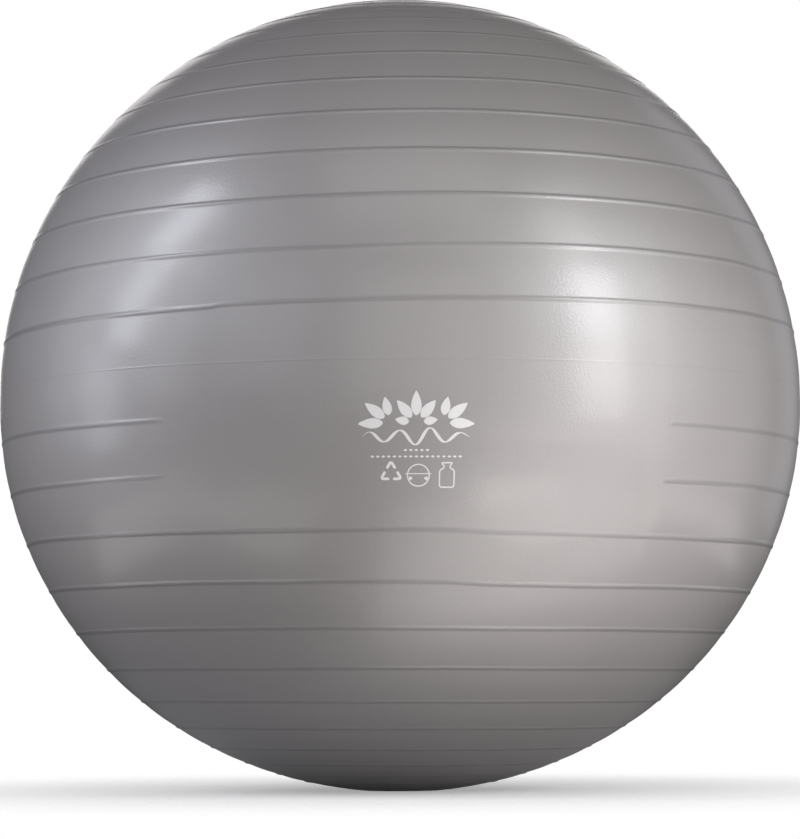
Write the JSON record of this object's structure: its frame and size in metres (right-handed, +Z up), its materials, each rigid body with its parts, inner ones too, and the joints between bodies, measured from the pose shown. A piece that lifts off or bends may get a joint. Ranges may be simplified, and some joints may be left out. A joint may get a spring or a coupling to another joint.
{
  "type": "exercise ball",
  "caption": "Large round inflatable ball with raised rings, a plain label field on its front, a bonded valve seat at the top and a push-in plug that lifts out.",
  "frame": {"origin": "centre of the flat patch that the ball rests on", "axes": "+Z up along the axis of the rings and through the valve; -Y towards the label field; +X to the right as the label is read"},
  "size_m": [0.6502, 0.6502, 0.6422],
  "materials": {
    "skin": "satin grey soft PVC with a fine grain",
    "valve_seat": "satin grey soft PVC",
    "plug": "semi-gloss white"
  },
  "bodies": {
    "ball": {"ball_shell": "skin", "valve_seat": "valve_seat"},
    "plug": {"valve_plug": "plug"}
  },
  "joints": [
    {"name": "plug_pull", "type": "slide", "parent": "ball", "child": "plug", "axis": [0, 0, 1], "range_m": [0, 0.04]}
  ]
}
